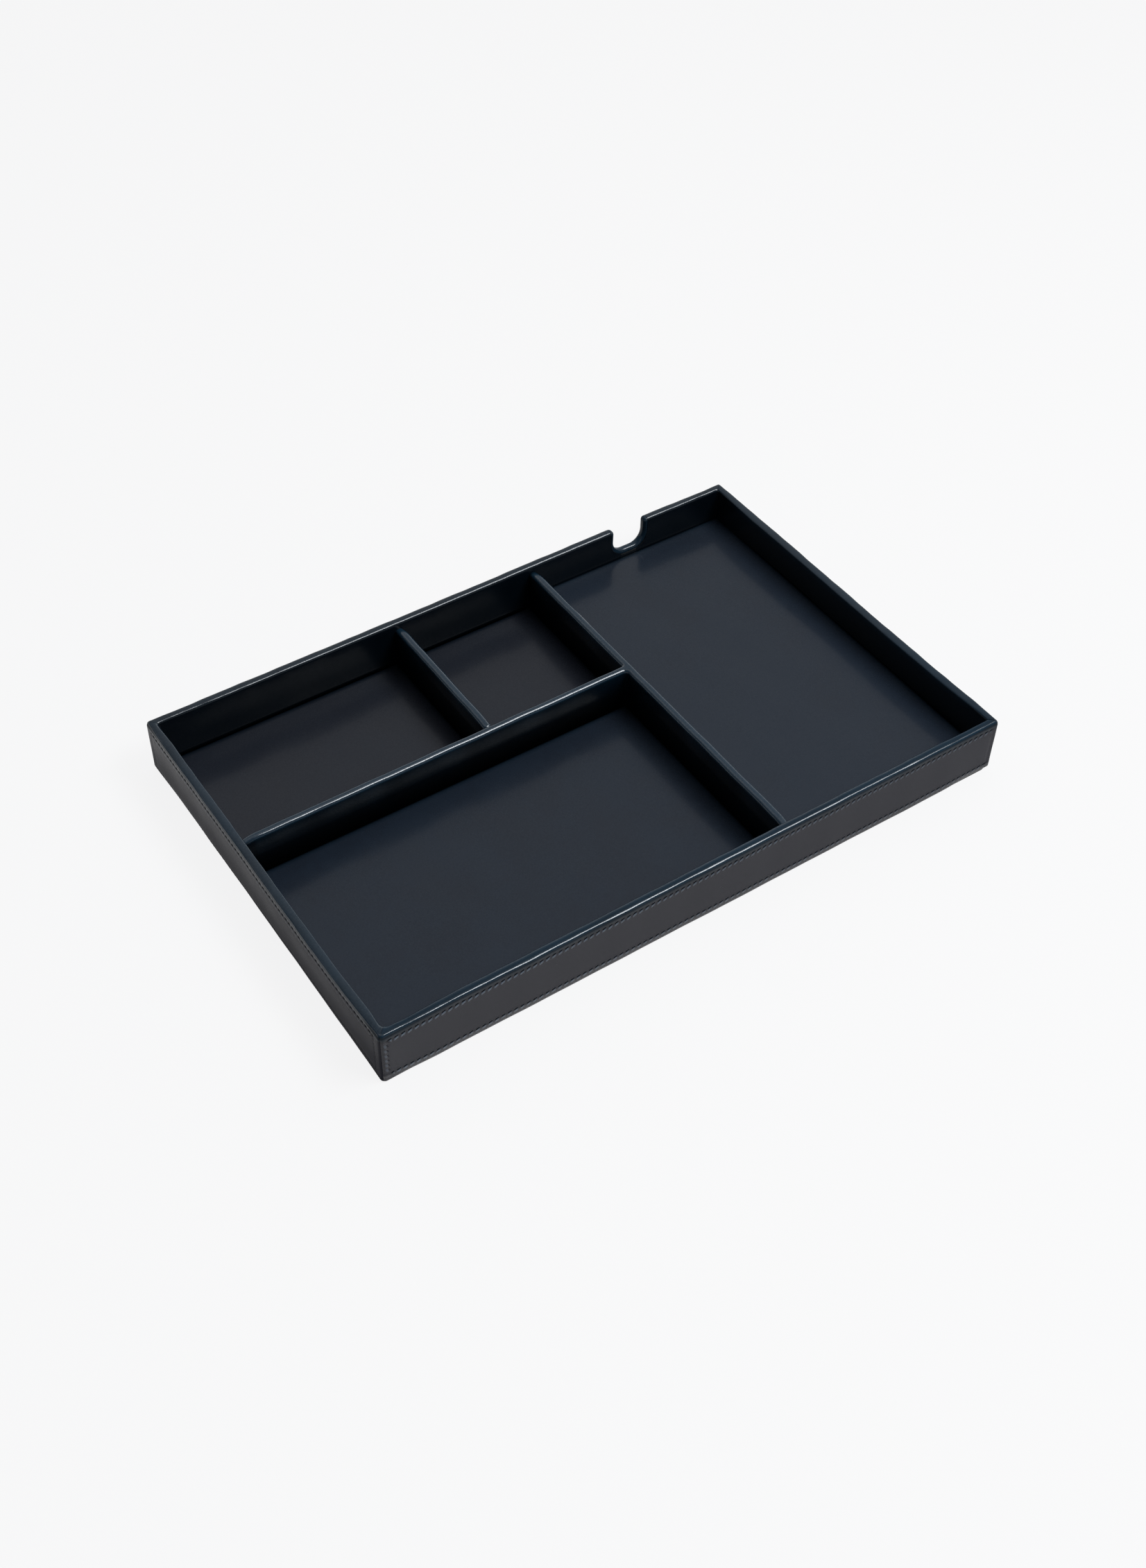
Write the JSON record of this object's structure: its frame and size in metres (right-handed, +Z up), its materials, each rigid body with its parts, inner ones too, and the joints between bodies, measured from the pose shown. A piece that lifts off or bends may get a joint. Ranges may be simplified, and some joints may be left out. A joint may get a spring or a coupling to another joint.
{
  "type": "wireless charging valet tray",
  "caption": "Low rectangular leather-covered tray with divided bays, a raised wireless charging deck and a cable notch in the back wall.",
  "frame": {"origin": "on the supporting surface, under the middle of the tray", "axes": "+X right along the front wall, +Y back to the notched wall, +Z up"},
  "size_m": [0.3, 0.195, 0.027],
  "materials": {
    "navy_leather": "smooth polished dark navy leather with a very fine grain and soft gloss",
    "navy_thread": "twisted dark navy sewing thread",
    "base_card": "black pressed card, matte",
    "fibreboard": "bare medium density fibreboard, hidden under the leather",
    "black_plastic": "fine moulded black plastic",
    "circuit_laminate": "green circuit board laminate",
    "ferrite": "dark grey sintered ferrite",
    "copper_wire": "copper coil wire, stated as brass because the list has no copper",
    "socket_steel": "plain stamped steel",
    "lead_sheath": "soft black cable sheath"
  },
  "bodies": {
    "root": {"base_panel": "base_card", "floor_board": "fibreboard", "front_wall_board": "fibreboard", "right_wall_board": "fibreboard", "back_wall_board": "fibreboard", "left_wall_board": "fibreboard", "long_divider_board": "fibreboard", "cross_divider_board": "fibreboard", "short_divider_board": "fibreboard", "deck_board": "fibreboard", "deck_riser_left": "fibreboard", "deck_riser_right": "fibreboard", "deck_riser_front": "fibreboard", "deck_riser_rear_left": "fibreboard", "deck_riser_rear_right": "fibreboard", "front_wall_leather": "navy_leather", "right_wall_leather": "navy_leather", "back_wall_leather": "navy_leather", "left_wall_leather": "navy_leather", "notch_lining": "navy_leather", "long_divider_leather": "navy_leather", "cross_divider_leather": "navy_leather", "short_divider_leather": "navy_leather", "front_floor_leather": "navy_leather", "rear_left_floor_leather": "navy_leather", "rear_middle_floor_leather": "navy_leather", "deck_leather": "navy_leather", "charger_lower_shell": "black_plastic", "charger_upper_shell": "black_plastic", "charger_circuit_board": "circuit_laminate", "ferrite_disc": "ferrite", "charging_coil": "copper_wire", "inlet_board": "circuit_laminate", "inlet_socket": "socket_steel", "inlet_tongue": "black_plastic", "inlet_bezel": "black_plastic", "inlet_lead": "lead_sheath"}
  },
  "joints": []
}
